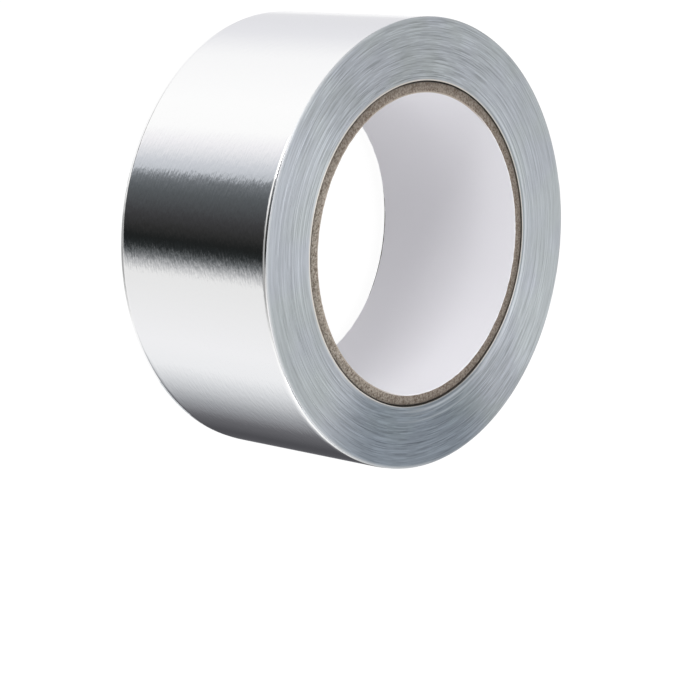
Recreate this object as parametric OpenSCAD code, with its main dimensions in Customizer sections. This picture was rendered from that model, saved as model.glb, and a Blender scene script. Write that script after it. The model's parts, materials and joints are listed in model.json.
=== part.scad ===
// Roll of aluminium foil tape: a board core lined with white paper, and the tape wound on it.
// The roll stands on one end. The origin is on its axis, in the plane that it stands on, and +Z is up the axis.

/* [Tape] */
// Outside diameter of the roll
roll_d = 114; // [100:0.5:160]
// Width of the tape, which is the height of the roll on its end
tape_w = 50; // [25:1:100]
// Thickness of one turn: foil, adhesive and release liner
tape_t = 0.11; // [0.08:0.01:0.25]
// Direction in which the cut end of the tape lies, in degrees round the axis from +X
cut_end_deg = 115; // [0:5:355]

/* [Core] */
// Bore of the core
bore_d = 76.2; // [60:0.1:80]
// Wall of the core, board and lining together
core_wall = 3; // [2:0.1:5]
// Thickness of the white paper lining
lining_t = 0.3; // [0.2:0.05:0.8]
// Depth of the core's upper end below the first turns
recess_above = 0.1; // [0.1:0.1:2]
// Height of the core's lower end above the first turns
recess_below = 2.8; // [0.1:0.1:4]

/* [Turns on the end faces] */
// Depth of the hollow in each end face, from the rim in to the first turns
face_hollow = 0.8; // [0.2:0.1:1.2]
// Gaps between turns that show on each end face
gap_count = 7; // [4:1:16]
// Width of a gap at the face
gap_w = 0.3; // [0.1:0.05:0.4]
// Depth of the deepest gap
gap_depth = 0.15; // [0.05:0.05:0.4]
// Width of the first turns, which stand apart from the rest beside the core
first_band = 1; // [0.6:0.1:1.5]
// Width of the last turns, which stand apart from the rest at the rim
last_band = 0.8; // [0.6:0.1:1.2]

/* [Hidden] */
$fn = 128;
OVERRUN = 1; // how far a cut runs on past a face

BOARD_GREY = "#938a7e";
PAPER_WHITE = "#eeeef0";
FOIL_SILVER = "#c9cdd1";

bore_r = bore_d / 2;
board_r = bore_r + lining_t; // the board starts where the lining ends
core_r = bore_r + core_wall; // the tape starts where the board ends
roll_r = roll_d / 2;
core_low = face_hollow + recess_below;
core_len = tape_w - face_hollow - recess_above - core_low;

// The gaps lie at uneven steps between the first turns and the last ones.
GOLDEN_DEG = 137.5; // an angle whose multiples never fall into step
STEP_SPREAD = 0.3; // share of a step by which a gap may leave its even place
SHALLOWEST = 0.45; // depth of the shallowest gap as a share of the deepest
gap_from = core_r + first_band;
gap_to = roll_r - last_band;
gap_step = (gap_to - gap_from) / (gap_count - 1);

function unevenness(i) = sin(GOLDEN_DEG * i * i);
function gap_r(i) =
    i == 0 ? gap_from
    : i == gap_count - 1 ? gap_to
    : gap_from + gap_step * (i + STEP_SPREAD * unevenness(i));
function depth_at(i) = gap_depth * (1 - (1 - SHALLOWEST) * abs(unevenness(i + 1)));

// How far an end face has sunk at a radius. It sinks evenly from the last turns in to the first ones.
function sunk_at(r) = face_hollow * (gap_to - r) / (gap_to - core_r);

// A plain sleeve between two radii.
module sleeve(inner_r, outer_r, low, height) {
    translate([0, 0, low])
        difference() {
            cylinder(r = outer_r, h = height);
            translate([0, 0, -OVERRUN]) cylinder(r = inner_r, h = height + 2 * OVERRUN);
        }
}

// Half a disc, on the side that side_deg points to.
module half_disc(r, side_deg) {
    rotate([0, 0, side_deg - 90])
        rotate_extrude(angle = 180) square([r, tape_w]);
}

// Grey board tube that the tape is wound on.
module core_tube() {
    color(BOARD_GREY) sleeve(board_r, core_r, core_low, core_len);
}

// White paper that lines the bore.
module core_lining() {
    color(PAPER_WHITE) sleeve(bore_r, board_r, core_low, core_len);
}

// Two half discs off one centre make a spiral that comes in by one thickness in a full turn, and its step is the
// cut end of the tape.
module spiral_disc() {
    rotate([0, 0, cut_end_deg - 180]) {
        half_disc(roll_r, 90);
        translate([tape_t / 2, 0, 0]) half_disc(roll_r - tape_t / 2, 270);
    }
}

// The hollow of one end face as a ring to cut away. It runs on past the face and past the first turns.
module face_hollow_ring(face_z, into) {
    rotate_extrude()
        polygon([
            [gap_to, face_z],
            [core_r - OVERRUN, face_z + into * sunk_at(core_r - OVERRUN)],
            [core_r - OVERRUN, face_z - into * OVERRUN],
            [gap_to, face_z - into * OVERRUN]
        ]);
}

// The gaps on one end face as rings to cut away. Each is a V whose point lies in the roll, and which runs on past
// the face by its own depth.
module gap_rings(face_z, into) {
    rotate_extrude()
        for (i = [0 : gap_count - 1])
            polygon([
                [gap_r(i), face_z + into * (sunk_at(gap_r(i)) + depth_at(i))],
                [gap_r(i) - gap_w, face_z + into * (sunk_at(gap_r(i)) - depth_at(i))],
                [gap_r(i) + gap_w, face_z + into * (sunk_at(gap_r(i)) - depth_at(i))]
            ]);
}

// All the turns of the tape as one solid.
module tape_winding() {
    color(FOIL_SILVER)
        difference() {
            spiral_disc();
            translate([0, 0, -OVERRUN]) cylinder(r = core_r, h = tape_w + 2 * OVERRUN);
            face_hollow_ring(0, 1);
            face_hollow_ring(tape_w, -1);
            gap_rings(0, 1);
            gap_rings(tape_w, -1);
        }
}

core_tube();
core_lining();
tape_winding();
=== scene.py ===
"""Dresses a roll of aluminium foil tape: its wound turns, its board core and the white lining of its bore."""

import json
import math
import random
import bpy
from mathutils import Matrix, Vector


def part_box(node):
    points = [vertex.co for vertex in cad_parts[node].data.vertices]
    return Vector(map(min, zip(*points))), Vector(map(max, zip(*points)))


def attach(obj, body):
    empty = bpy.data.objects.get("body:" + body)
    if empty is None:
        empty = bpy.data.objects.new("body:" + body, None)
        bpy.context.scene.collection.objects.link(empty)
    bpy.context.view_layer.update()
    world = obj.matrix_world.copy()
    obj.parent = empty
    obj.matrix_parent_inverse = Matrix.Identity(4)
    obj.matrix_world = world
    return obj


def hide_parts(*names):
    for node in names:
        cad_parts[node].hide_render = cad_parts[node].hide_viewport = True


bl_info = {
    "name": "Foil Tape Roll",
    "version": (1, 0, 0),
    "blender": (4, 5, 0),
    "location": "3D Viewport > Sidebar > Foil Tape",
    "description": "Builds a roll of aluminium foil tape, with turn edges and core, on a white studio stage",
    "category": "Add Mesh",
}

import bmesh
import bpy
from mathutils import Matrix, Vector

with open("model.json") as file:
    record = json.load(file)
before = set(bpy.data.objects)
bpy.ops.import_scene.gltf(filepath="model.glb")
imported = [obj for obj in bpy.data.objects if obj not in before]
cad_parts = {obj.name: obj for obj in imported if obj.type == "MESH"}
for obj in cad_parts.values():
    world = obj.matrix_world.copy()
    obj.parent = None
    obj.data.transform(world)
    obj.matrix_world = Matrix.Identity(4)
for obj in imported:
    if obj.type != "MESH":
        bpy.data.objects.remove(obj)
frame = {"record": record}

BODY = "root"
MM = 0.001

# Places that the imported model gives, in metres.
WINDING_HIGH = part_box("tape_winding")[1]
TUBE_LOW, TUBE_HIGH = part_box("core_tube")
LINING_LOW, LINING_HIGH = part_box("core_lining")
BORE_R = frame["record"]["mounts"][0]["dims"]["r_mm"] * MM
ROLL_R = WINDING_HIGH.y
TURNS_INNER_R = TUBE_HIGH.x
LINING_OUTER_R = LINING_HIGH.x
TAPE_WIDTH = WINDING_HIGH.z

CUT_END_DEG = 115  # where the cut end of the tape lies, round the axis from +X
WELD = 0.001 * MM  # vertices closer than this are one

FIRST_TURNS = 5 * MM  # width of the band beside the core in which single turns show
# Edges of those turns, from the core outwards: share of the band's width, colour, and how much of it shows.
# The first list is for the side where the tape starts, and the second for the rest of the roll.
STARTING_TURNS = (
    (0.0, "#f2ece2", 0.8), (0.04, "#f2ece2", 0.7), (0.08, "#cfd3d6", 0.2), (0.12, "#8a929a", 0.55),
    (0.155, "#8a929a", 0.55), (0.2, "#c5cbd0", 0.1), (0.25, "#e8edf2", 0.5), (0.33, "#e8edf2", 0.45),
    (0.39, "#c5cbd0", 0.05), (0.43, "#98a0a8", 0.3), (0.46, "#c5cbd0", 0.0), (0.475, "#eef1f4", 0.3),
    (0.495, "#eef1f4", 0.3), (0.52, "#c5cbd0", 0.0), (0.62, "#c5cbd0", 0.0), (0.66, "#98a0a8", 0.25),
    (0.72, "#98a0a8", 0.2), (0.78, "#dfe4e9", 0.3), (0.83, "#dfe4e9", 0.3), (0.87, "#c5cbd0", 0.0),
)
EARLY_TURNS = (
    (0.0, "#f4ece2", 0.85), (0.05, "#f2ece4", 0.7), (0.08, "#e2e4e6", 0.3), (0.12, "#dfe3e7", 0.05),
    (0.15, "#dfe3e7", 0.25), (0.18, "#c5cbd0", 0.0),
)
DRAWN_TURN = 0.25 * MM  # a turn is 0.11 mm thick, and its edge is drawn wider so that it shows

# Directions across the roll in which its marks lie, and the sides on which painted shade, painted light and a
# painted highlight lie.
SQUEEZED = (0.906, 0.423, 0)
PAINTED_SHADE_SIDE = (0.985, 0.174, 0)
STARTING = (0.087, 0.996, 0)
PAINTED_HIGHLIGHT_SIDE = (0.42, -0.906, 0)
PAINTED_LIGHT_SIDE = (0.5, -0.87, 0)
SOILED = (-0.26, -0.97, 0)

# Colours of those marks: the painted shade and painted rim highlight on the turn edges, the painted shade at
# the board's outer edge, the soiled edge of the lining, and the release liner, painted dark as shade in the
# crack.
PAINTED_SHADE_TINT = "#cad1d7"
PAINTED_RIM_HIGHLIGHT = "#dfe2e5"
BOARD_EDGE_SHADE = "#463f39"
SOILED_EDGE = "#aca297"
LINER_DARK = "#45413d"
LINER_PALE = "#69645e"
WHITE = "#ffffff"

SMOOTH_DEG = 35  # edges sharper than this are shaded sharp
UPRIGHT = 0.5  # a face whose normal has less Z than this stands upright

# Settings that many nodes share.
RGBA = {"data_type": "RGBA"}
SMOOTH = {"interpolation_type": "SMOOTHSTEP"}
DOT = {"operation": "DOT_PRODUCT"}
MULTIPLY = {"operation": "MULTIPLY"}
SCALE = {"operation": "SCALE"}
ADD = {"operation": "ADD"}
NORMALIZE = {"operation": "NORMALIZE"}
LENGTH = {"operation": "LENGTH"}


# Small helpers


def hex_colour(code):
    """An sRGB hex value as linear RGBA."""
    channels = [int(code[i : i + 2], 16) / 255 for i in (1, 3, 5)]
    linear = [c / 12.92 if c <= 0.04045 else ((c + 0.055) / 1.055) ** 2.4 for c in channels]
    return (*linear, 1.0)


def add_node(tree, kind, settings=None, **inputs):
    """Adds a node with its settings, and sets or links its inputs. i0, i1 and so on pick them by index."""
    node = tree.nodes.new(kind)
    for name, value in (settings or {}).items():
        setattr(node, name, value)
    for name, value in inputs.items():
        key = int(name[1:]) if name[1:].isdigit() else name
        if isinstance(value, bpy.types.NodeSocket):
            tree.links.new(value, node.inputs[key])
        else:
            node.inputs[key].default_value = value
    return node


def set_stops(node, stops):
    """Fills a colour ramp with (position, linear RGBA) stops."""
    ramp = node.color_ramp
    while len(ramp.elements) > 1:
        ramp.elements.remove(ramp.elements[-1])
    for index, (position, colour) in enumerate(stops):
        stop = ramp.elements[0] if index == 0 else ramp.elements.new(position)
        stop.position = position
        stop.color = colour


def new_material(name):
    """An empty node material and its tree, with the Principled shader in place."""
    material = bpy.data.materials.new(name)
    material.use_nodes = True
    tree = material.node_tree
    tree.nodes.clear()
    shader = tree.nodes.new("ShaderNodeBsdfPrincipled")
    output = tree.nodes.new("ShaderNodeOutputMaterial")
    tree.links.new(shader.outputs["BSDF"], output.inputs["Surface"])
    return material, tree, shader


def places_on_roll(tree):
    """Object coordinates, and the same in the plane across the roll's axis."""
    place = add_node(tree, "ShaderNodeTexCoord").outputs["Object"]
    across = add_node(tree, "ShaderNodeVectorMath", MULTIPLY, i0=place, i1=(1, 1, 0))
    return place, across.outputs[0]


def wave(rng, strengths):
    """A smooth function of the angle round the roll. strengths holds a size for each number of waves."""
    terms = [(count, rng.gauss(0, size), rng.uniform(0, math.tau)) for count, size in enumerate(strengths)]
    return lambda angle: sum(size * math.cos(count * angle + phase) for count, size, phase in terms)


def turned_from_cut(co):
    """Angle of a point round the roll, counted from the cut end, from 0 to a full turn."""
    return (math.atan2(co.y, co.x) - math.radians(CUT_END_DEG)) % math.tau


def share_at(angle, middle, spread, fade):
    """1 within spread degrees of middle, and down to 0 over fade degrees more. angle is in radians."""
    off = abs((math.degrees(angle) - middle + 180) % 360 - 180)
    return min(1.0, max(0.0, (spread + fade - off) / fade))


def into_roll(z):
    """The way from the nearer end into the roll, along Z."""
    return 1 if z < TAPE_WIDTH / 2 else -1


def move_out(vert, by):
    """Moves a point away from the axis."""
    r = math.hypot(vert.co.x, vert.co.y)
    vert.co.x *= (r + by) / r
    vert.co.y *= (r + by) / r


def ring_section(bm, inner_r, outer_r, low, high):
    """Makes a rectangle in the plane y = 0, ready to be shaped and spun."""
    corners = [(inner_r, low), (outer_r, low), (outer_r, high), (inner_r, high)]
    bm.faces.new([bm.verts.new((r, 0, z)) for r, z in corners])


def section_edges(bm, axis, value):
    """Edges of the section whose ends both lie at value along axis (0 for the radius, 2 for the height)."""
    return [e for e in bm.edges if all(abs(v.co[axis] - value) < WELD for v in e.verts)]


def spin_section(bm, segments, closing=0.0):
    """Drops the section's faces and spins its outline round Z. closing is a last narrow step, in radians."""
    bmesh.ops.delete(bm, geom=bm.faces[:], context="FACES_ONLY")
    bmesh.ops.rotate(
        bm, verts=bm.verts[:], cent=(0, 0, 0), matrix=Matrix.Rotation(math.radians(CUT_END_DEG), 3, "Z")
    )
    turn = dict(cent=(0, 0, 0), axis=(0, 0, 1))
    start = bm.verts[:] + bm.edges[:]
    if closing:
        last = bmesh.ops.spin(bm, geom=start, angle=math.tau - closing, steps=segments, **turn)["geom_last"]
        bmesh.ops.spin(bm, geom=last, angle=closing, steps=1, **turn)
    else:
        bmesh.ops.spin(bm, geom=start, angle=math.tau, steps=segments, use_merge=True, **turn)
    bmesh.ops.remove_doubles(bm, verts=bm.verts[:], dist=WELD)
    bmesh.ops.recalc_face_normals(bm, faces=bm.faces[:])


def unroll_uv(bm):
    """Lays a UV map with u once round the roll, from the cut end, and v along the section in tape widths."""
    layer = bm.loops.layers.uv.new("UVMap")
    for face in bm.faces:
        middle = turned_from_cut(face.calc_center_median())
        for loop in face.loops:
            co = loop.vert.co
            angle = turned_from_cut(co)
            if angle - middle > math.pi:
                angle -= math.tau
            elif middle - angle > math.pi:
                angle += math.tau
            along = math.hypot(co.x, co.y) if abs(face.normal.z) > UPRIGHT else co.z
            loop[layer].uv = (angle / math.tau, along / TAPE_WIDTH)


def finish_piece(bm, name, materials, node):
    """Makes the bmesh a smooth-shaded object that rides on the body and stands for the node."""
    for face in bm.faces:
        face.smooth = True
    mesh = bpy.data.meshes.new(name)
    bm.to_mesh(mesh)
    bm.free()
    mesh.set_sharp_from_angle(angle=math.radians(SMOOTH_DEG))
    for material in materials:
        mesh.materials.append(material)
    piece = bpy.data.objects.new(name, mesh)
    bpy.context.scene.collection.objects.link(piece)
    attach(piece, BODY)
    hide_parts(node)


# Sizes and colours that a user would change


class FoilTapeSizes(bpy.types.PropertyGroup):
    """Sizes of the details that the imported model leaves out"""

    segments: bpy.props.IntProperty(
        name="Segments", description="Faces round the roll", default=240, min=96, max=360
    )
    gap_count: bpy.props.IntProperty(
        name="Gaps", description="Gaps between turns that show on each end face", default=22, min=4, max=28
    )
    gap_half_width: bpy.props.FloatProperty(
        name="Gap half width", description="Half the width of a gap at the face",
        default=0.06 * MM, unit="LENGTH", precision=5,
    )
    gap_depth: bpy.props.FloatProperty(
        name="Gap depth", description="Depth of the deepest gap", default=0.1 * MM, unit="LENGTH", precision=5
    )
    wander: bpy.props.FloatProperty(
        name="Wander", description="How far the turns stray across the end face",
        default=0.004 * MM, unit="LENGTH", precision=5,
    )
    hollow: bpy.props.FloatProperty(
        name="Hollow", description="How far an end face sinks from the rim in to the first turns",
        default=0.8 * MM, unit="LENGTH", precision=5,
    )
    step_height: bpy.props.FloatProperty(
        name="Cut end", description="Thickness of one turn, which is the step at the cut end",
        default=0.11 * MM, unit="LENGTH", precision=5,
    )
    crack: bpy.props.FloatProperty(
        name="Crack", description="Width of the crack between the board and the first turn",
        default=0.4 * MM, unit="LENGTH", precision=5,
    )


class FoilTapeColours(bpy.types.PropertyGroup):
    """Colours of the finishes"""

    foil: bpy.props.StringProperty(name="Foil", description="Bright rolled aluminium", default="#f7f7f7")
    edge_green: bpy.props.StringProperty(name="Green grey edges", description="Turn edges", default="#bac0c3")
    edge_blue: bpy.props.StringProperty(name="Blue grey edges", description="Turn edges", default="#babfc6")
    board: bpy.props.StringProperty(name="Board", description="Cut greyboard", default="#938a81")
    # Painted light: the paler board colour, used on the side where more light falls.
    board_pale: bpy.props.StringProperty(
        name="Pale board", description="Cut board, pale patch", default="#b5ada2"
    )
    board_speck: bpy.props.StringProperty(name="Board specks", description="Brown fibres", default="#605449")
    lining: bpy.props.StringProperty(name="Lining", description="White lining paper", default="#f1f0f4")


class FoilTapeStage(bpy.types.PropertyGroup):
    """Camera and light"""

    eye: bpy.props.FloatVectorProperty(
        name="Eye", description="Place of the camera", default=(0.02905, -0.46113, 0.43612),
        subtype="TRANSLATION", unit="LENGTH",
    )
    look_down: bpy.props.FloatProperty(
        name="Look down", description="Angle of the view below the horizon",
        default=math.radians(41.281), subtype="ANGLE",
    )
    roll: bpy.props.FloatProperty(
        name="Roll", description="Turn of the camera about its own line of sight",
        default=math.radians(99.167), subtype="ANGLE",
    )
    focal_px: bpy.props.FloatProperty(
        name="Focal length", description="Focal length in pixels of a picture 700 pixels wide", default=2392
    )
    floor_glow: bpy.props.FloatProperty(
        name="Floor glow", description="Light that comes up through the white floor", default=0.95, min=0
    )


# Materials


def rolled_foil(colours):
    """Bright household-gauge aluminium foil, rolled: a soft mirror whose fine ridges run along the tape."""
    material, tree, shader = new_material("rolled_aluminium_foil")
    place = add_node(tree, "ShaderNodeTexCoord").outputs["Object"]
    # Rolling ridges, about 2 mm long and 0.6 mm apart. They fray the edges of whatever the foil reflects.
    # The scales here and below are in waves per metre.
    ridge_place = add_node(tree, "ShaderNodeMapping", Vector=place, Scale=(480, 480, 1700))
    ridges = add_node(
        tree, "ShaderNodeTexNoise", Vector=ridge_place.outputs[0], Scale=1.0, Detail=2.0, Roughness=0.5
    )
    # Slow waves in the turns, about 15 mm long.
    swell_place = add_node(tree, "ShaderNodeMapping", Vector=place, Scale=(60, 60, 40))
    swell = add_node(tree, "ShaderNodeTexNoise", Vector=swell_place.outputs[0], Scale=1.0, Detail=1.0)
    low = add_node(
        tree, "ShaderNodeBump", Strength=1.0, Distance=0.02 * MM, Height=swell.outputs["Fac"]
    )
    high = add_node(
        tree, "ShaderNodeBump", Strength=1.0, Distance=0.035 * MM,
        Height=ridges.outputs["Fac"], Normal=low.outputs["Normal"],
    )
    tree.links.new(high.outputs["Normal"], shader.inputs["Normal"])
    shader.inputs["Base Color"].default_value = hex_colour(colours.foil)
    shader.inputs["Metallic"].default_value = 1.0
    shader.inputs["Roughness"].default_value = 0.06
    return material


def slit_turn_edges(colours):
    """Slit edges of the tape's turns: foil, adhesive and liner packed side by side, a satin bluish grey, with
    painted shade on one side and a painted highlight along the rim.
    """
    material, tree, shader = new_material("slit_tape_edges")
    place, across = places_on_roll(tree)
    radius = add_node(tree, "ShaderNodeVectorMath", LENGTH, i0=across).outputs["Value"]
    around = add_node(tree, "ShaderNodeVectorMath", NORMALIZE, i0=across).outputs[0]

    def turns_noise(turns, along, detail, roughness):
        """Noise drawn out round the roll. turns is its place across them, and along its waves in a radius."""
        spot = add_node(tree, "ShaderNodeCombineXYZ", Z=turns.outputs[0])
        turn = add_node(tree, "ShaderNodeVectorMath", SCALE, i0=around, Scale=along)
        spot = add_node(tree, "ShaderNodeVectorMath", ADD, i0=spot.outputs[0], i1=turn.outputs[0])
        noise = add_node(
            tree, "ShaderNodeTexNoise", Vector=spot.outputs[0], Scale=1.0, Detail=detail, Roughness=roughness
        )
        return noise.outputs["Fac"]

    # Hairlines of light and dark, one wave for each turn that is drawn.
    turns = add_node(tree, "ShaderNodeMath", MULTIPLY, i0=radius, i1=1 / DRAWN_TURN)
    hairlines = turns_noise(turns, 3.0, 2.0, 0.6)
    # The slitting knife leaves the turns uneven. Here and there one stands up light, and elsewhere it lies
    # down dark. Each takes its noise 7.3 waves from its neighbour's, so that the two have nothing in common.
    number = add_node(tree, "ShaderNodeMath", {"operation": "FLOOR"}, i0=turns.outputs[0])
    number = add_node(tree, "ShaderNodeMath", MULTIPLY, i0=number.outputs[0], i1=7.3)
    arcs = add_node(tree, "ShaderNodeValToRGB", Fac=turns_noise(number, 6.0, 0.0, 0.5))
    set_stops(arcs, [(at, (v, v, v, 1)) for at, v in ((0.33, 0.0), (0.42, 0.5), (0.58, 0.5), (0.67, 1.0))])
    uneven = add_node(tree, "ShaderNodeMath", ADD, i0=arcs.outputs[0], i1=hairlines)
    uneven = add_node(tree, "ShaderNodeMath", {"operation": "SUBTRACT"}, i0=uneven.outputs[0], i1=1.0)
    # Greenish and lavender grey patches, about 15 mm wide, where more or less of the liner's edge shows.
    patches = add_node(tree, "ShaderNodeTexNoise", Vector=place, Scale=70.0, Detail=1.0)
    patch = add_node(tree, "ShaderNodeMapRange", Value=patches.outputs["Fac"], i1=0.4, i2=0.6, i3=0.0, i4=1.0)
    ground = add_node(
        tree, "ShaderNodeMix", RGBA, Factor=patch.outputs[0],
        i6=hex_colour(colours.edge_green), i7=hex_colour(colours.edge_blue),
    )
    # The roll was squeezed from two sides. There the turns stand more unevenly, and their lines show more.
    squeezed = add_node(tree, "ShaderNodeVectorMath", DOT, i0=around, i1=SQUEEZED)
    squeezed = add_node(tree, "ShaderNodeMath", {"operation": "ABSOLUTE"}, i0=squeezed.outputs["Value"])
    contrast = add_node(
        tree, "ShaderNodeMapRange", SMOOTH,
        Value=squeezed.outputs[0], i1=0.45, i2=0.95, i3=0.18, i4=0.42,
    )
    shade = add_node(
        tree, "ShaderNodeMath", {"operation": "MULTIPLY_ADD"},
        i0=uneven.outputs[0], i1=contrast.outputs[0], i2=1.0,
    )
    # Painted shade: on one side of the roll the turn edges are darkened, the red more than the blue, in place
    # of the shade that falls there.
    painted_shade_facing = add_node(tree, "ShaderNodeVectorMath", DOT, i0=around, i1=PAINTED_SHADE_SIDE)
    painted_shade = add_node(
        tree, "ShaderNodeMapRange", SMOOTH,
        Value=painted_shade_facing.outputs["Value"], i1=0.75, i2=0.97, i3=0.0, i4=1.0,
    )
    colour = add_node(
        tree, "ShaderNodeVectorMath", SCALE, i0=ground.outputs[2], Scale=shade.outputs[0]
    )
    colour = add_node(
        tree, "ShaderNodeMix", {"data_type": "RGBA", "blend_type": "MULTIPLY"}, Factor=painted_shade.outputs[0],
        i6=colour.outputs[0], i7=hex_colour(PAINTED_SHADE_TINT),
    ).outputs[2]
    # The first turns were wound by hand on to the core. Their edges are a few clear cream and white lines.
    depth = add_node(
        tree, "ShaderNodeMapRange",
        Value=radius, i1=TURNS_INNER_R, i2=TURNS_INNER_R + FIRST_TURNS, i3=0.0, i4=1.0,
    )
    facing = add_node(tree, "ShaderNodeVectorMath", DOT, i0=around, i1=STARTING)
    starting = add_node(
        tree, "ShaderNodeMapRange", SMOOTH,
        Value=facing.outputs["Value"], i1=0.0, i2=0.5, i3=0.0, i4=1.0,
    )
    rest = add_node(tree, "ShaderNodeMath", {"operation": "SUBTRACT"}, i0=1.0, i1=starting.outputs[0])
    for stops, share in ((STARTING_TURNS, starting), (EARLY_TURNS, rest)):
        lines = add_node(tree, "ShaderNodeValToRGB", Fac=depth.outputs[0])
        set_stops(lines, [(at, (*hex_colour(code)[:3], cover)) for at, code, cover in stops])
        cover = add_node(
            tree, "ShaderNodeMath", MULTIPLY, i0=lines.outputs["Alpha"], i1=share.outputs[0]
        )
        colour = add_node(
            tree, "ShaderNodeMix", RGBA, Factor=cover.outputs[0],
            i6=colour, i7=lines.outputs["Color"],
        ).outputs[2]
    # The last turns stand free at the rim, within its last millimetre. Their edges there are mixed towards a
    # pale colour, a painted highlight that is faint all round and strongest on one side.
    facing = add_node(tree, "ShaderNodeVectorMath", DOT, i0=around, i1=PAINTED_HIGHLIGHT_SIDE)
    painted_highlight = add_node(
        tree, "ShaderNodeMapRange", SMOOTH,
        Value=facing.outputs["Value"], i1=0.0, i2=0.4, i3=0.2, i4=0.85,
    )
    last = add_node(
        tree, "ShaderNodeMapRange", Value=radius, i1=ROLL_R - 0.95 * MM, i2=ROLL_R - 0.35 * MM, i3=0.0,
        i4=painted_highlight.outputs[0],
    )
    colour = add_node(
        tree, "ShaderNodeMix", RGBA, Factor=last.outputs[0], i6=colour, i7=hex_colour(PAINTED_RIM_HIGHLIGHT)
    )
    bump = add_node(tree, "ShaderNodeBump", Strength=0.5, Distance=0.006 * MM, Height=hairlines)
    tangent = add_node(tree, "ShaderNodeTangent", {"direction_type": "UV_MAP", "uv_map": "UVMap"})
    tree.links.new(colour.outputs[2], shader.inputs["Base Color"])
    tree.links.new(bump.outputs["Normal"], shader.inputs["Normal"])
    tree.links.new(tangent.outputs["Tangent"], shader.inputs["Tangent"])
    shader.inputs["Metallic"].default_value = 0.8
    shader.inputs["Roughness"].default_value = 0.45
    shader.inputs["Anisotropic"].default_value = 0.8
    shader.inputs["Anisotropic Rotation"].default_value = 0.25
    return material


def cut_greyboard(colours):
    """Spirally wound greyboard, cut across: matt, fibrous, with brown specks of recycled fibre, with painted
    light on one side and painted shade towards the tape.
    """
    material, tree, shader = new_material("cut_greyboard")
    place, across = places_on_roll(tree)
    # Fibres and specks, about 0.5 mm long.
    fibres = add_node(
        tree, "ShaderNodeTexNoise", Vector=place, Scale=1800.0, Detail=4.0, Roughness=0.75
    )
    specks = add_node(
        tree, "ShaderNodeMapRange", Value=fibres.outputs["Fac"], i1=0.38, i2=0.6, i3=0.0, i4=1.0
    )
    # Painted light: the board is paler towards one side, where more light falls.
    towards = add_node(tree, "ShaderNodeVectorMath", DOT, i0=place, i1=PAINTED_LIGHT_SIDE)
    pale = add_node(
        tree, "ShaderNodeMapRange", SMOOTH,
        Value=towards.outputs["Value"], i1=0.016, i2=0.036, i3=0.0, i4=0.8,
    )
    board = add_node(
        tree, "ShaderNodeMix", RGBA, Factor=pale.outputs[0],
        i6=hex_colour(colours.board), i7=hex_colour(colours.board_pale),
    )
    colour = add_node(
        tree, "ShaderNodeMix", RGBA, Factor=specks.outputs[0],
        i6=hex_colour(colours.board_speck), i7=board.outputs[2],
    )
    # Painted shade: the board gets darker outwards, towards the tape. Next to the tape a dark band is painted
    # as the shade in the crack, over about 0.7 mm, with a ragged edge in tufts about 1.5 mm long.
    radius = add_node(tree, "ShaderNodeVectorMath", LENGTH, i0=across)
    shade = add_node(
        tree, "ShaderNodeMapRange", Value=radius.outputs["Value"],
        i1=LINING_OUTER_R, i2=TURNS_INNER_R - 0.7 * MM, i3=1.12, i4=0.82,
    )
    toned = add_node(tree, "ShaderNodeVectorMath", SCALE, i0=colour.outputs[2], Scale=shade.outputs[0])
    shade_edge_noise = add_node(tree, "ShaderNodeTexNoise", Vector=place, Scale=700.0, Detail=2.0)
    shade_edge_radius = add_node(
        tree, "ShaderNodeMath", {"operation": "MULTIPLY_ADD"},
        i0=shade_edge_noise.outputs["Fac"], i1=0.8 * MM, i2=radius.outputs["Value"],
    )
    painted_edge_shade = add_node(
        tree, "ShaderNodeMapRange", Value=shade_edge_radius.outputs[0],
        i1=TURNS_INNER_R - 0.3 * MM, i2=TURNS_INNER_R - 0.05 * MM, i3=0.0, i4=0.4,
    )
    colour = add_node(
        tree, "ShaderNodeMix", RGBA, Factor=painted_edge_shade.outputs[0],
        i6=toned.outputs[0], i7=hex_colour(BOARD_EDGE_SHADE),
    )
    bump = add_node(
        tree, "ShaderNodeBump", Strength=0.8, Distance=0.08 * MM, Height=fibres.outputs["Fac"]
    )
    tree.links.new(colour.outputs[2], shader.inputs["Base Color"])
    tree.links.new(bump.outputs["Normal"], shader.inputs["Normal"])
    shader.inputs["Roughness"].default_value = 0.95
    shader.inputs["Specular IOR Level"].default_value = 0.2
    return material


def lining_paper(colours):
    """White lining paper, uncoated: matt, with a faint felt of fibres, and soiled along half its cut edge."""
    material, tree, shader = new_material("white_lining_paper")
    place, across = places_on_roll(tree)
    height = add_node(tree, "ShaderNodeSeparateXYZ", Vector=place).outputs["Z"]
    around = add_node(tree, "ShaderNodeVectorMath", NORMALIZE, i0=across)
    facing = add_node(tree, "ShaderNodeVectorMath", DOT, i0=around.outputs[0], i1=SOILED)
    side = add_node(
        tree, "ShaderNodeMapRange", Value=facing.outputs["Value"], i1=-0.35, i2=-0.05, i3=0.0, i4=1.0
    )
    cut = add_node(
        tree, "ShaderNodeMapRange", Value=height, i1=LINING_HIGH.z - 0.3 * MM, i2=LINING_HIGH.z - 0.15 * MM,
        i3=0.0, i4=side.outputs[0],
    )
    colour = add_node(
        tree, "ShaderNodeMix", RGBA, Factor=cut.outputs[0],
        i6=hex_colour(colours.lining), i7=hex_colour(SOILED_EDGE),
    )
    tree.links.new(colour.outputs[2], shader.inputs["Base Color"])
    # Fibres, about 1 mm long.
    felt = add_node(tree, "ShaderNodeTexNoise", Vector=place, Scale=900.0, Detail=3.0, Roughness=0.6)
    bump = add_node(tree, "ShaderNodeBump", Strength=0.3, Distance=0.02 * MM, Height=felt.outputs["Fac"])
    tree.links.new(bump.outputs["Normal"], shader.inputs["Normal"])
    shader.inputs["Roughness"].default_value = 0.85
    shader.inputs["Specular IOR Level"].default_value = 0.3
    return material


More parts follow.
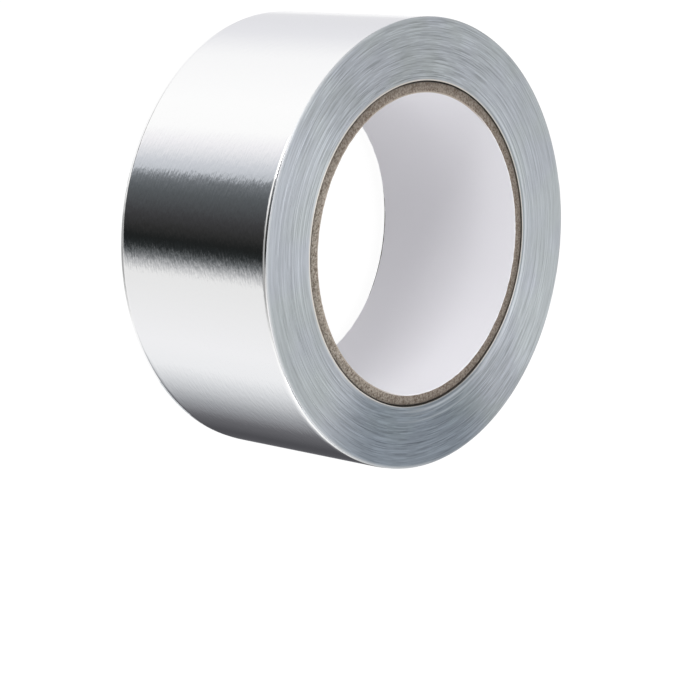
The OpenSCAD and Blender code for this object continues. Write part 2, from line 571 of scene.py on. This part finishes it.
def crack_shade_liner():
    """Dark, matt faces in the crack between the board and the first turn: painted shade in the crack, with
    the grain of the calendered release liner on the first turn's side, which shows only there.
    """
    material, tree, shader = new_material("release_liner_in_painted_shade")
    place = add_node(tree, "ShaderNodeTexCoord").outputs["Object"]
    # Grain, about 2 mm wide.
    grain = add_node(tree, "ShaderNodeTexNoise", Vector=place, Scale=500.0, Detail=2.0)
    colour = add_node(
        tree, "ShaderNodeMix", RGBA, Factor=grain.outputs["Fac"],
        i6=hex_colour(LINER_DARK), i7=hex_colour(LINER_PALE),
    )
    tree.links.new(colour.outputs[2], shader.inputs["Base Color"])
    shader.inputs["Roughness"].default_value = 0.7
    return material


# Pieces


class FOILTAPE_OT_winding(bpy.types.Operator):
    """Models the wound tape, with its gaps between turns, its slit edges and its cut end"""

    bl_idname = "foil_tape.winding"
    bl_label = "Wound tape"

    SEED = 11
    WALL, EDGES, INSIDE = range(3)
    FIRST_BAND = 1.0 * MM  # the innermost turns, which stand apart from the rest
    LAST_BAND = 0.8 * MM  # the outermost turns, which stand apart from the rest
    CLOSING = 0.05 * MM  # width of the ramp that stands for the cut end's step

    # The wall near a rim, as depth below the end face and fall from the full radius, both in mm. The last
    # turn's edge curls in and stops 0.6 mm short, so the side of the turn before it shows as a dark line.
    RIM = (
        (0.0, 0.16), (0.06, 0.1), (0.6, 0.2), (0.65, 0.15), (0.75, 0.09), (0.9, 0.045), (1.1, 0.02),
        (1.4, 0.01), (1.9, 0.003), (2.4, 0.0),
    )
    # Two stretches of the rim differ, each given by its middle and half its width in degrees from the cut
    # end, and the degrees over which it fades out. In the first the last turn lies snug, and its edge hardly
    # curls.
    SNUG = (57, 72, 14)
    # In the second the wall bends in as a whole over its last 2 mm.
    BENT = (215, 6, 28)
    BEND = 0.1 * MM
    # The first turn's upper edge leans over the board on one stretch and away from it on the next, in mm.
    LEANS = (((150, 50, 25), -0.09), ((265, 18, 15), 0.2))
    LEAN_DEPTH = 1.2 * MM  # how far below that edge the lean starts
    STEP_SPREAD = 0.3  # share of a step by which a gap may leave its even place
    SHALLOWEST = 0.2  # depth of the shallowest gap as a share of the deepest
    OPENING = (0, 0.35, 0.3, 0.2)  # how much a gap opens and closes round the roll, by number of waves
    MEAN_OPENING = 0.5  # how open a gap is on average, as a share of its depth
    STRAYING = (1.0, 0.4, 0.3)  # how far a turn strays, in shares of the wander, by number of waves
    SNUG_SHARE = 0.85  # how much of the curl the snug stretch takes back
    RIM_CORNER = 0.03  # points less deep than this, in mm, belong to the end face
    BENT_DEPTH = 1.9  # how deep the bent stretch reaches, in mm

    # A face is foil this near the full radius and this far from an end, dark liner in painted shade this near
    # the core if it stands upright, and turn edges otherwise.
    WALL_REACH = 0.25 * MM
    WALL_START = 0.04 * MM
    INSIDE_REACH = 0.3 * MM

    def gap_radii(self, rng, count):
        """Radii of the gaps: one beside the first turns, one beside the last, and uneven steps between."""
        first = TURNS_INNER_R + self.FIRST_BAND
        last = ROLL_R - self.LAST_BAND
        step = (last - first) / (count - 1)
        spread = self.STEP_SPREAD
        middle = [first + step * (i + rng.uniform(-spread, spread)) for i in range(1, count - 1)]
        return [first, *middle, last]

    def execute(self, context):
        sizes = context.scene.foil_tape_sizes
        colours = context.scene.foil_tape_colours
        rng = random.Random(self.SEED)
        bm = bmesh.new()
        ring_section(bm, TURNS_INNER_R, ROLL_R, 0.0, TAPE_WIDTH)
        moves = {}
        for end_z, into in ((0.0, 1), (TAPE_WIDTH, -1)):
            self.cut_face(bm, rng, sizes, end_z, into, moves)
        self.shape_rims(bm)
        self.split_inside(bm, sizes)
        spin_section(bm, sizes.segments, closing=self.CLOSING / ROLL_R)
        self.shape_turns(bm, sizes, moves)
        unroll_uv(bm)
        for face in bm.faces:
            middle = face.calc_center_median()
            side = math.hypot(middle.x, middle.y)
            below_face = min(middle.z, TAPE_WIDTH - middle.z)
            if side > ROLL_R - self.WALL_REACH and below_face > self.WALL_START:
                face.material_index = self.WALL
            elif side < TURNS_INNER_R + self.INSIDE_REACH and abs(face.normal.z) < UPRIGHT:
                face.material_index = self.INSIDE
            else:
                face.material_index = self.EDGES
        materials = [rolled_foil(colours), slit_turn_edges(colours), crack_shade_liner()]  # WALL, EDGES, INSIDE
        finish_piece(bm, "wound_foil_tape", materials, "tape_winding")
        return {"FINISHED"}

    def cut_face(self, bm, rng, sizes, end_z, into, moves):
        """Cuts one end of the section into gaps and lands, and notes how each point moves round the roll."""
        edges = section_edges(bm, 2, end_z)
        last = ROLL_R - self.LAST_BAND
        radii = []
        for gap_r in self.gap_radii(rng, sizes.gap_count):
            width = sizes.gap_half_width
            depth = sizes.gap_depth * rng.uniform(self.SHALLOWEST, 1.0)
            own = wave(rng, self.OPENING)
            radii.append((gap_r - width, 0.0, own))
            radii.append((gap_r, depth, own))
            radii.append((gap_r + width, 0.0, own))
        bmesh.ops.subdivide_edges(bm, edges=edges, cuts=len(radii))
        row = [
            v for v in bm.verts
            if abs(v.co.z - end_z) < WELD and TURNS_INNER_R + WELD < v.co.x < ROLL_R - WELD
        ]
        row.sort(key=lambda v: v.co.x)
        for vert, (r, depth, own) in zip(row, radii, strict=True):
            vert.co.x = r
            land = wave(rng, [share * sizes.wander for share in self.STRAYING])
            moves[(round(r / WELD), end_z)] = (into, depth, own, land)
        corner = min((v for v in bm.verts if abs(v.co.z - end_z) < WELD), key=lambda v: v.co.x)
        for vert in [corner, *row]:
            vert.co.z += into * sizes.hollow * max(0.0, (last - vert.co.x) / (last - TURNS_INNER_R))

    def shape_rims(self, bm):
        """Curls the last turn's edge in near both rims."""
        bmesh.ops.subdivide_edges(bm, edges=section_edges(bm, 0, ROLL_R), cuts=2 * len(self.RIM) - 1)
        row = sorted((v for v in bm.verts if abs(v.co.x - ROLL_R) < WELD), key=lambda v: v.co.z)
        for (depth, fall), low, high in zip(self.RIM, row, reversed(row)):
            for vert, z in ((low, depth * MM), (high, TAPE_WIDTH - depth * MM)):
                vert.co.x = ROLL_R - fall * MM
                vert.co.z = z

    def split_inside(self, bm, sizes):
        """Adds a loop a little below the first turn's upper edge, which that edge leans from."""
        bmesh.ops.subdivide_edges(bm, edges=section_edges(bm, 0, TURNS_INNER_R), cuts=1)
        for vert in bm.verts:
            if abs(vert.co.x - TURNS_INNER_R) < WELD and abs(vert.co.z - TAPE_WIDTH / 2) < MM:
                vert.co.z = TAPE_WIDTH - sizes.hollow - self.LEAN_DEPTH

    def shape_turns(self, bm, sizes, moves):
        """Moves the spun points: gaps that come and go, turns that stray or lean, the cut end and rims."""
        for vert in bm.verts:
            angle = turned_from_cut(vert.co)
            r = math.hypot(vert.co.x, vert.co.y)
            end_z = 0.0 if vert.co.z < TAPE_WIDTH / 2 else TAPE_WIDTH
            move = moves.get((round(r / WELD), end_z))
            if move and abs(vert.co.z - end_z) < sizes.hollow + WELD:
                into, depth, own, land = move
                stray = abs(land(angle))
                open_by = max(0.0, self.MEAN_OPENING + own(angle))
                vert.co.z += into * (stray + depth * open_by)
            if r < TURNS_INNER_R + WELD and vert.co.z > TAPE_WIDTH - sizes.hollow - MM:
                move_out(vert, sum(size * share_at(angle, *place) for place, size in self.LEANS) * MM)
            if r > ROLL_R - self.LAST_BAND / 2:
                drop = sizes.step_height * (1 + math.cos(angle)) / 2 if angle < math.pi else 0.0
                depth = min(vert.co.z, TAPE_WIDTH - vert.co.z) / MM
                drop += self.BEND * share_at(angle, *self.BENT) * min(1.0, max(0.0, self.BENT_DEPTH - depth))
                if depth > self.RIM_CORNER and end_z:
                    drop -= self.SNUG_SHARE * (ROLL_R - r) * share_at(angle, *self.SNUG)
                move_out(vert, -drop)


class FOILTAPE_OT_core_tube(bpy.types.Operator):
    """Models the board tube, with its cut and slightly ragged ends"""

    bl_idname = "foil_tape.core_tube"
    bl_label = "Core tube"

    SEED = 23
    BOARD, LINER = range(2)
    CUTS = 9  # points across an end face
    CRACK_DEPTH = 2  # depth of the crack beside the tape, in widths of the crack
    RAGGED = 0.08  # how far the cut end frays, in mm
    CRACK_WAVES = (0,) + (0.1,) * 8  # how much the crack's width wanders round the roll, by number of waves
    CRACK_FRAY = 0.25  # how much it changes from point to point, as a share of its width
    MOST_CLOSED = 0.8  # share of the crack's width that may close
    # Painted shade: faces on the crack's tape side take the dark liner colours, as the shade in the crack.
    CRACK_SIDE = 0.75  # faces within this share of the crack's width of the tape are its dark side

    def execute(self, context):
        sizes = context.scene.foil_tape_sizes
        colours = context.scene.foil_tape_colours
        rng = random.Random(self.SEED)
        bm = bmesh.new()
        ring_section(bm, LINING_OUTER_R, TURNS_INNER_R, TUBE_LOW.z, TUBE_HIGH.z)
        for end_z in (TUBE_LOW.z, TUBE_HIGH.z):
            bmesh.ops.subdivide_edges(bm, edges=section_edges(bm, 2, end_z), cuts=self.CUTS)
        corners = [
            v for v in bm.verts
            if abs(v.co.x - TURNS_INNER_R) < WELD and min(v.co.z - TUBE_LOW.z, TUBE_HIGH.z - v.co.z) < WELD
        ]
        for vert in corners:
            vert.co.z += into_roll(vert.co.z) * self.CRACK_DEPTH * sizes.crack
        lip_r = max(v.co.x for v in bm.verts if v not in corners)
        for vert in bm.verts:
            if abs(vert.co.x - lip_r) < WELD:
                vert.co.x = TURNS_INNER_R - sizes.crack
        spin_section(bm, sizes.segments)
        widths = wave(rng, self.CRACK_WAVES)
        for vert in bm.verts:
            r = math.hypot(vert.co.x, vert.co.y)
            if min(vert.co.z - TUBE_LOW.z, TUBE_HIGH.z - vert.co.z) < WELD:
                vert.co.z += into_roll(vert.co.z) * rng.uniform(0, self.RAGGED) * MM
            if abs(r - TURNS_INNER_R + sizes.crack) < WELD:
                closed = widths(turned_from_cut(vert.co)) + rng.uniform(-self.CRACK_FRAY, self.CRACK_FRAY)
                move_out(vert, sizes.crack * min(self.MOST_CLOSED, closed))
        unroll_uv(bm)
        # Faces at the crack are painted dark, as the shade in it.
        for face in bm.faces:
            middle = face.calc_center_median()
            dark = math.hypot(middle.x, middle.y) > TURNS_INNER_R - self.CRACK_SIDE * sizes.crack
            face.material_index = self.LINER if dark else self.BOARD
        finish_piece(bm, "board_core", [cut_greyboard(colours), crack_shade_liner()], "core_tube")
        return {"FINISHED"}


class FOILTAPE_OT_core_lining(bpy.types.Operator):
    """Models the white paper in the bore, with its cut edge"""

    bl_idname = "foil_tape.core_lining"
    bl_label = "Core lining"

    SEED = 31
    CUTS = 11  # loops along the bore
    RAGGED = 0.12  # how far the cut edge frays, in mm

    def execute(self, context):
        sizes = context.scene.foil_tape_sizes
        colours = context.scene.foil_tape_colours
        rng = random.Random(self.SEED)
        bm = bmesh.new()
        ring_section(bm, BORE_R, LINING_OUTER_R, LINING_LOW.z, LINING_HIGH.z)
        bmesh.ops.subdivide_edges(bm, edges=section_edges(bm, 0, BORE_R), cuts=self.CUTS)
        spin_section(bm, sizes.segments)
        for vert in bm.verts:
            if min(abs(vert.co.z - LINING_LOW.z), abs(vert.co.z - LINING_HIGH.z)) < WELD:
                vert.co.z += into_roll(vert.co.z) * rng.uniform(0, self.RAGGED) * MM
        unroll_uv(bm)
        finish_piece(bm, "bore_lining", [lining_paper(colours)], "core_lining")
        return {"FINISHED"}


# Stage


class FOILTAPE_OT_stage(bpy.types.Operator):
    """Sets up the white floor, the soft light and the camera"""

    bl_idname = "foil_tape.stage"
    bl_label = "Studio stage"

    PICTURE_WIDTH = 700  # pixels
    SENSOR = 36.0  # width of the camera's sensor, in mm
    FLOOR_SIZE = 6.0  # metres
    FLOOR_GREY = "#5c5c5c"  # what the floor adds where light falls on it, so that a shadow shows
    TENT_STRENGTH = 1.05
    SOFT_BELOW = "#c4c4c4"  # the tent's even light from below, on whatever isn't a mirror

    # The studio below the roll's height, by direction in degrees from the camera's side towards +X.
    BELOW = (
        (-180, "#aaaaaa"), (-172, "#f4f4f4"), (-158, "#f8f8f9"), (-149, "#e1e1e4"), (-134, "#e1e1e5"),
        (-117, "#e6e6ea"), (-95, "#f9f9fa"), (-60, "#ffffff"), (-44, "#fefefe"), (-36, "#f1f0f3"),
        (-30, "#e0e1e5"), (-25, "#cccfd5"), (-20, "#c0c4ca"), (-17.8, "#868a8f"), (-15, "#6b6f73"),
        (-9, "#565a5d"), (4, "#3d3d3f"), (11, "#2f2f2f"), (17, "#1d1f1f"), (21.5, "#292c2d"),
        (26, "#6b6e70"), (30, "#b5b6b8"), (35, "#e8e8e8"), (75, "#f1f1f3"), (90, "#edeef0"), (101, "#d3d5d8"),
        (117, "#9d9fa3"), (132, "#66666a"), (150, "#4b4b4f"), (165, "#535357"), (178, "#909094"),
    )
    # Brightness at the roll's own height, by direction. White sheets stand on the camera's side.
    LEVEL = (
        (-180, 0.2), (-120, 0.3), (-90, 1.0), (-10, 1.0), (10, 0.45), (35, 0.35), (60, 1.0), (110, 1.0),
        (135, 0.5), (160, 0.2),
    )
    # Brightness of the floor around the roll's foot, by direction.
    UNDERFOOT = (
        (-180, 0.3), (-60, 0.25), (-45, 0.06), (25, 0.04), (45, 0.6), (60, 1.0), (120, 0.8), (180, 0.5),
    )
    # Brightness of the upper walls on the +X side and on the +Y side. The other two are black. Each starts to
    # show where the direction has the first share of its axis, and shows fully from the second.
    WALLS_ABOVE = (("X", 0.51), ("Y", 0.65))
    WALL_RISE = (0.1, 0.6)
    # The belts below, level and above: Z of the direction where each starts to show, and where it is alone.
    BELTS = ((-0.94, -0.84), (-0.62, -0.4), (0.3, 0.5))

    # Softboxes: place in metres, side in metres, watts.
    SOFTBOXES = {
        "overhead_softbox": ((0.0, 0.0, 0.9), 0.7, 3.12),
        "front_softbox": ((-0.3, -0.6, 0.25), 0.2, 1.1),
        "left_softbox": ((-0.35, -0.2, 0.5), 0.3, 0.62),
        "low_left_softbox": ((-0.28, 0.0, 0.2), 0.2, 0.12),
        "right_softbox": ((0.28, 0.0, 0.2), 0.2, 0.18),
    }

    def execute(self, context):
        scene = context.scene
        stage = scene.foil_tape_stage
        scene.view_settings.view_transform = "Standard"
        self.make_floor(scene, stage)
        self.make_surroundings(scene)
        self.make_softboxes(scene)
        self.make_camera(scene, stage)
        return {"FINISHED"}

    def make_floor(self, scene, stage):
        """A white acrylic sheet lit from below, which leaves a faint shadow."""
        bm = bmesh.new()
        bmesh.ops.create_grid(bm, x_segments=1, y_segments=1, size=self.FLOOR_SIZE / 2)
        mesh = bpy.data.meshes.new("studio_floor")
        bm.to_mesh(mesh)
        bm.free()
        material, tree, shader = new_material("white_acrylic_sheet")
        shader.inputs["Base Color"].default_value = hex_colour(self.FLOOR_GREY)
        shader.inputs["Roughness"].default_value = 1.0
        shader.inputs["Specular IOR Level"].default_value = 0.0
        shader.inputs["Emission Color"].default_value = hex_colour(WHITE)
        shader.inputs["Emission Strength"].default_value = stage.floor_glow
        mesh.materials.append(material)
        floor = bpy.data.objects.new("studio_floor", mesh)
        scene.collection.objects.link(floor)
        floor.visible_glossy = False
        floor.visible_diffuse = False

    def ramp_round(self, tree, share, stops):
        """Colours by direction round the roll. stops holds degrees and linear RGBA."""
        ramp = add_node(tree, "ShaderNodeValToRGB", Fac=share)
        set_stops(ramp, [((deg + 180) / 360, colour) for deg, colour in stops])
        return ramp.outputs["Color"]

    def make_surroundings(self, scene):
        """A light tent with dark gaps between its sheets, seen only in reflections."""
        world = bpy.data.worlds.new("light_tent")
        scene.world = world
        world.use_nodes = True
        tree = world.node_tree
        tree.nodes.clear()
        towards = add_node(tree, "ShaderNodeTexCoord").outputs["Generated"]
        parts = add_node(tree, "ShaderNodeSeparateXYZ", Vector=towards)
        back = add_node(tree, "ShaderNodeMath", MULTIPLY, i0=parts.outputs["Y"], i1=-1.0)
        angle = add_node(
            tree, "ShaderNodeMath", {"operation": "ARCTAN2"}, i0=parts.outputs["X"], i1=back.outputs[0]
        )
        share = add_node(
            tree, "ShaderNodeMapRange", Value=angle.outputs[0], i1=-math.pi, i2=math.pi, i3=0.0, i4=1.0
        )
        below = self.ramp_round(tree, share.outputs[0], [(deg, hex_colour(code)) for deg, code in self.BELOW])
        level, underfoot = (
            self.ramp_round(tree, share.outputs[0], [(deg, (grey, grey, grey, 1)) for deg, grey in greys])
            for greys in (self.LEVEL, self.UNDERFOOT)
        )
        walls = [
            add_node(
                tree, "ShaderNodeMapRange", SMOOTH,
                Value=parts.outputs[axis], i1=self.WALL_RISE[0], i2=self.WALL_RISE[1], i3=0.0, i4=brightness,
            )
            for axis, brightness in self.WALLS_ABOVE
        ]
        above = add_node(
            tree, "ShaderNodeMath", ADD, i0=walls[0].outputs[0], i1=walls[1].outputs[0]
        )
        tent = underfoot
        for (low, high), upper in zip(self.BELTS, (below, level, above.outputs[0]), strict=True):
            rise = add_node(
                tree, "ShaderNodeMapRange", SMOOTH,
                Value=parts.outputs["Z"], i1=low, i2=high, i3=0.0, i4=1.0,
            )
            tent = add_node(
                tree, "ShaderNodeMix", RGBA, Factor=rise.outputs[0], i6=tent, i7=upper
            ).outputs[2]
        path = add_node(tree, "ShaderNodeLightPath")
        down = add_node(tree, "ShaderNodeMath", {"operation": "LESS_THAN"}, i0=parts.outputs["Z"], i1=0.0)
        shaded = add_node(
            tree, "ShaderNodeMath", MULTIPLY, i0=down.outputs[0], i1=path.outputs["Is Diffuse Ray"]
        )
        soft = add_node(
            tree, "ShaderNodeMix", RGBA, Factor=shaded.outputs[0],
            i6=tent, i7=hex_colour(self.SOFT_BELOW),
        )
        colour = add_node(
            tree, "ShaderNodeMix", RGBA, Factor=path.outputs["Is Camera Ray"],
            i6=soft.outputs[2], i7=hex_colour(WHITE),
        )
        background = add_node(
            tree, "ShaderNodeBackground", Color=colour.outputs[2], Strength=self.TENT_STRENGTH
        )
        output = tree.nodes.new("ShaderNodeOutputWorld")
        tree.links.new(background.outputs[0], output.inputs["Surface"])

    def make_softboxes(self, scene):
        """Square area lamps, each turned towards the roll's upper end."""
        for name, (place, side, watts) in self.SOFTBOXES.items():
            data = bpy.data.lights.new(name, "AREA")
            data.shape = "SQUARE"
            data.size = side
            data.energy = watts
            lamp = bpy.data.objects.new(name, data)
            scene.collection.objects.link(lamp)
            away = Vector(place) - Vector((0, 0, TAPE_WIDTH))
            lamp.matrix_world = Matrix.Translation(place) @ away.to_track_quat("Z", "Y").to_matrix().to_4x4()

    def make_camera(self, scene, stage):
        """A camera at the photograph's viewing angle, rolled round its line of sight."""
        data = bpy.data.cameras.new("camera")
        data.sensor_width = self.SENSOR
        data.lens = stage.focal_px * self.SENSOR / self.PICTURE_WIDTH
        camera = bpy.data.objects.new("camera", data)
        scene.collection.objects.link(camera)
        tilt = Matrix.Rotation(math.pi / 2 - stage.look_down, 4, "X")
        roll = Matrix.Rotation(stage.roll, 4, "Z")
        camera.matrix_world = Matrix.Translation(Vector(stage.eye)) @ tilt @ roll
        scene.camera = camera


class FOILTAPE_PT_panel(bpy.types.Panel):
    """Lists the pieces and the stage, with their sizes and colours"""

    bl_idname = "FOILTAPE_PT_panel"
    bl_label = "Foil Tape Roll"
    bl_space_type = "VIEW_3D"
    bl_region_type = "UI"
    bl_category = "Foil Tape"

    def draw(self, context):
        layout = self.layout
        for group in ("foil_tape_sizes", "foil_tape_colours", "foil_tape_stage"):
            settings = getattr(context.scene, group)
            box = layout.box()
            for name in settings.__annotations__:
                box.prop(settings, name)
        for step in BUILD_STEPS:
            layout.operator(step.bl_idname)


BUILD_STEPS = (FOILTAPE_OT_winding, FOILTAPE_OT_core_tube, FOILTAPE_OT_core_lining, FOILTAPE_OT_stage)
CLASSES = (FoilTapeSizes, FoilTapeColours, FoilTapeStage, *BUILD_STEPS, FOILTAPE_PT_panel)


def register():
    for cls in CLASSES:
        bpy.utils.register_class(cls)
    bpy.types.Scene.foil_tape_sizes = bpy.props.PointerProperty(type=FoilTapeSizes)
    bpy.types.Scene.foil_tape_colours = bpy.props.PointerProperty(type=FoilTapeColours)
    bpy.types.Scene.foil_tape_stage = bpy.props.PointerProperty(type=FoilTapeStage)


def unregister():
    del bpy.types.Scene.foil_tape_sizes
    del bpy.types.Scene.foil_tape_colours
    del bpy.types.Scene.foil_tape_stage
    for cls in reversed(CLASSES):
        bpy.utils.unregister_class(cls)


def main():
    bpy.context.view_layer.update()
    register()
    bpy.ops.foil_tape.winding()
    bpy.ops.foil_tape.core_tube()
    bpy.ops.foil_tape.core_lining()
    bpy.ops.foil_tape.stage()


if __name__ == "__main__":
    main()
